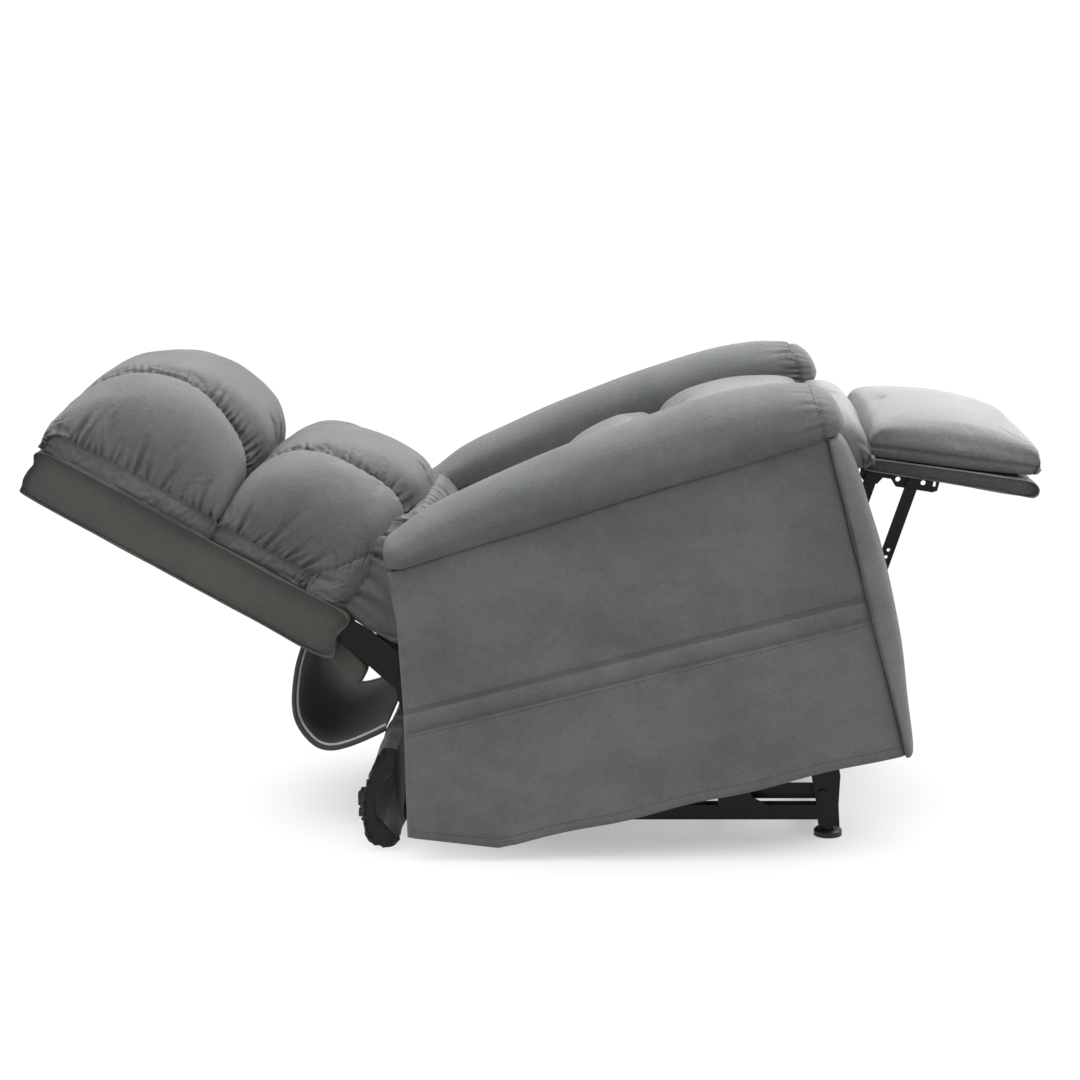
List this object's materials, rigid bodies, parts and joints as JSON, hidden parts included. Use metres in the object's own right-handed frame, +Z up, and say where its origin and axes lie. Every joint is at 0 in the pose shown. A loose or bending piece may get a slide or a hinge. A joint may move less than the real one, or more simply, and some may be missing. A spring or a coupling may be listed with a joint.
{
  "type": "lift recliner chair",
  "caption": "Wide padded armchair on a low steel lift base, stored laid back with its footrest out; the back, footrest, seat tilt and lift all move on linkages.",
  "frame": {"origin": "centre of the overall box at floor level, in the stored reclined pose", "axes": "+X towards the front of the chair (footrest end), +Y towards the sitter's left, +Z up"},
  "size_m": [1.7661, 0.892, 0.8444],
  "materials": {
    "leather": "satin pebbled hide",
    "shell_leather": "satin pebbled hide",
    "dark_cloth": "matt woven lining",
    "cover_cloth": "matt coated cloth",
    "black_steel": "satin black powder coat",
    "zinc_steel": "zinc plated",
    "rod_steel": "bright",
    "black_plastic": "fine texture",
    "grey_plastic": "fine texture",
    "ply": "raw plywood",
    "webbing": "woven strap"
  },
  "bodies": {
    "base": {"base_frame": "black_steel", "levelling_feet": "black_plastic", "lift_pins": "zinc_steel", "rear_cover": "cover_cloth", "power_inlet": "black_plastic", "cover_knob": "black_plastic", "control_box": "black_plastic"},
    "lower_links": {"lower_lift_links": "black_steel", "lift_lever_pin": "zinc_steel"},
    "upper_link_left": {"upper_lift_link_left": "black_steel"},
    "upper_link_right": {"upper_lift_link_right": "black_steel"},
    "carrier": {"lift_carrier": "black_steel", "carrier_pins": "zinc_steel"},
    "seat_body": {"seat_side_plates": "black_steel", "body_pins": "zinc_steel", "seat_frame": "ply", "seat_webbing": "webbing", "arm_frame_left": "ply", "arm_side_left": "leather", "arm_front_left": "leather", "arm_roll_left": "leather", "arm_frame_right": "ply", "arm_side_right": "leather", "arm_front_right": "leather", "arm_roll_right": "leather", "seat_cushion": "leather", "seat_front_cushion": "leather", "bridge_pad": "leather", "seat_apron": "leather", "handset_pocket": "leather"},
    "back": {"back_hinge_frame": "black_steel", "recline_lever_pin": "zinc_steel", "back_frame": "ply", "back_shell": "shell_leather", "back_tongue": "shell_leather", "head_pillow": "leather", "lumbar_pillow": "leather", "back_infill": "leather", "rear_sling": "dark_cloth"},
    "lift_tube": {"lift_actuator_tube": "black_plastic"},
    "lift_rod": {"lift_actuator_rod": "rod_steel"},
    "recline_tube": {"recline_actuator_tube": "black_plastic"},
    "recline_rod": {"recline_actuator_rod": "rod_steel"},
    "footrest_tube": {"footrest_actuator_tube": "black_plastic"},
    "footrest_rod": {"footrest_actuator_rod": "rod_steel"},
    "cranks": {"footrest_cranks": "black_steel", "crank_pins": "zinc_steel"},
    "rear_pad_links": {"footrest_links_rear": "black_steel"},
    "front_pad_links": {"footrest_links_front": "black_steel"},
    "control_links": {"footrest_control_links": "black_steel"},
    "footrest": {"footrest_brackets": "black_steel", "bracket_pins": "zinc_steel", "footrest_board": "leather", "footrest_spacer": "dark_cloth", "footrest_pad": "leather"},
    "handset": {"handset_shell": "black_plastic"},
    "key_rise": {"handset_key_rise": "grey_plastic"},
    "key_lower": {"handset_key_lower": "grey_plastic"},
    "key_recline": {"handset_key_recline": "grey_plastic"},
    "key_footrest": {"handset_key_footrest": "grey_plastic"}
  },
  "joints": [
    {"name": "lift", "type": "hinge", "parent": "base", "child": "lower_links", "pos_m": [0.515, 0, 0.076], "axis": [0, 1, 0], "range_deg": [0, 55]},
    {"name": "carrier_tip", "type": "hinge", "parent": "lower_links", "child": "carrier", "pos_m": [0.195, 0, 0.076], "axis": [0, 1, 0], "range_deg": [-35.03, 0]},
    {"name": "upper_link_left_swing", "type": "hinge", "parent": "base", "child": "upper_link_left", "pos_m": [0.5155, 0, 0.1228], "axis": [0, 1, 0], "range_deg": [0, 58.53]},
    {"name": "upper_link_right_swing", "type": "hinge", "parent": "base", "child": "upper_link_right", "pos_m": [0.5155, 0, 0.1228], "axis": [0, 1, 0], "range_deg": [0, 58.53]},
    {"name": "seat_tilt", "type": "hinge", "parent": "carrier", "child": "seat_body", "pos_m": [0.014, 0, 0.12], "axis": [0, 1, 0], "range_deg": [0, 14]},
    {"name": "recline", "type": "hinge", "parent": "seat_body", "child": "back", "pos_m": [-0.20565, 0, 0.26105], "axis": [0, 1, 0], "range_deg": [0, 34]},
    {"name": "footrest", "type": "hinge", "parent": "seat_body", "child": "cranks", "pos_m": [0.37517, 0, 0.48357], "axis": [0, 1, 0], "range_deg": [0, 67]},
    {"name": "rear_pad_link", "type": "hinge", "parent": "cranks", "child": "rear_pad_links", "pos_m": [0.52142, 0, 0.4275], "axis": [0, 1, 0], "range_deg": [-67.05, 0]},
    {"name": "front_pad_link", "type": "hinge", "parent": "cranks", "child": "front_pad_links", "pos_m": [0.59205, 0, 0.41643], "axis": [0, 1, 0], "range_deg": [-67.05, 0]},
    {"name": "footrest_turn", "type": "hinge", "parent": "rear_pad_links", "child": "footrest", "pos_m": [0.5963, 0, 0.64496], "axis": [0, 1, 0], "range_deg": [0, 67.05]},
    {"name": "control_link", "type": "hinge", "parent": "seat_body", "child": "control_links", "pos_m": [0.39796, 0, 0.54976], "axis": [0, 1, 0], "range_deg": [0, 67.05]},
    {"name": "lift_actuator_swing", "type": "hinge", "parent": "base", "child": "lift_tube", "pos_m": [-0.1639, 0, 0.1037], "axis": [0, 1, 0], "range_deg": [0, 2.12]},
    {"name": "lift_actuator_stroke", "type": "slide", "parent": "lift_tube", "child": "lift_rod", "axis": [0.998, 0, 0.0634], "range_m": [0, 0.06072]},
    {"name": "recline_actuator_swing", "type": "hinge", "parent": "seat_body", "child": "recline_tube", "pos_m": [0.12911, 0, 0.24527], "axis": [0, 1, 0], "range_deg": [0, 3.85]},
    {"name": "recline_actuator_stroke", "type": "slide", "parent": "recline_tube", "child": "recline_rod", "axis": [-0.983, 0, -0.1836], "range_m": [0, 0.04043]},
    {"name": "footrest_actuator_swing", "type": "hinge", "parent": "seat_body", "child": "footrest_tube", "pos_m": [0.14913, 0, 0.41712], "axis": [0, 1, 0], "range_deg": [0, 6.41]},
    {"name": "footrest_actuator_stroke", "type": "slide", "parent": "footrest_tube", "child": "footrest_rod", "axis": [0.9978, 0, 0.0664], "range_m": [-0.0826, 0]},
    {"name": "handset_draw", "type": "slide", "parent": "seat_body", "child": "handset", "axis": [-0.2419, 0, 0.9703], "range_m": [0, 0.125]},
    {"name": "press_rise", "type": "slide", "parent": "handset", "child": "key_rise", "axis": [0, -1, 0], "range_m": [0, 0.0012], "stiffness_N_per_m": 400},
    {"name": "press_lower", "type": "slide", "parent": "handset", "child": "key_lower", "axis": [0, -1, 0], "range_m": [0, 0.0012], "stiffness_N_per_m": 400},
    {"name": "press_recline", "type": "slide", "parent": "handset", "child": "key_recline", "axis": [0, -1, 0], "range_m": [0, 0.0012], "stiffness_N_per_m": 400},
    {"name": "press_footrest", "type": "slide", "parent": "handset", "child": "key_footrest", "axis": [0, -1, 0], "range_m": [0, 0.0012], "stiffness_N_per_m": 400}
  ],
  "couplings": [
    {"joint": "carrier_tip", "follows": "lift", "ratio": -0.63636},
    {"joint": "upper_link_left_swing", "follows": "lift", "ratio": 1.063},
    {"joint": "upper_link_right_swing", "follows": "lift", "ratio": 1.063},
    {"joint": "rear_pad_link", "follows": "footrest", "ratio": -1},
    {"joint": "front_pad_link", "follows": "footrest", "ratio": -1},
    {"joint": "footrest_turn", "follows": "footrest", "ratio": 1},
    {"joint": "control_link", "follows": "footrest", "ratio": 1},
    {"joint": "lift_actuator_swing", "follows": "lift", "ratio": 0.038227},
    {"joint": "lift_actuator_stroke", "follows": "lift", "m_per_rad": 0.06263},
    {"joint": "recline_actuator_swing", "follows": "recline", "ratio": 0.11223},
    {"joint": "recline_actuator_stroke", "follows": "recline", "m_per_rad": 0.067452},
    {"joint": "footrest_actuator_swing", "follows": "footrest", "ratio": 0.094707},
    {"joint": "footrest_actuator_stroke", "follows": "footrest", "m_per_rad": -0.06994}
  ]
}
